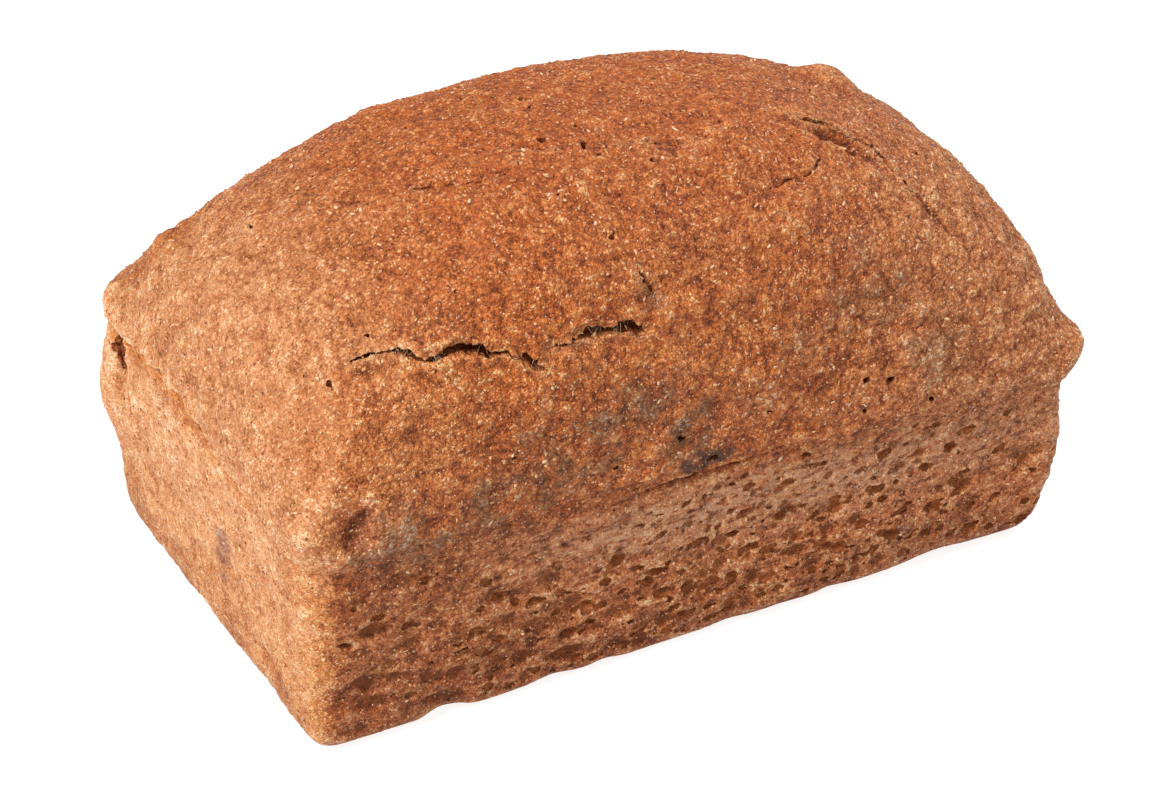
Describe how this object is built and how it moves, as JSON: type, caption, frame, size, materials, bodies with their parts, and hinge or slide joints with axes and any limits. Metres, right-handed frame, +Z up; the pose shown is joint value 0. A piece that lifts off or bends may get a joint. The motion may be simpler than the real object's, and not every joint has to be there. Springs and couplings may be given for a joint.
{
  "type": "spelt bread loaf",
  "caption": "Small wholegrain loaf baked in a tin, with upright walls, a rim crease and a high cracked dome, to stand on its flat underside.",
  "frame": {"origin": "middle of the loaf's underside, at the bottom of its box", "axes": "+X along the loaf's length, towards the right-hand end when the porous long side faces you; -Y towards that porous long side; +Z up"},
  "size_m": [0.1724, 0.0959, 0.0984],
  "materials": {
    "crust": "matt browned wholegrain crust with a grainy surface"
  },
  "bodies": {
    "root": {"loaf": "crust"}
  },
  "joints": []
}
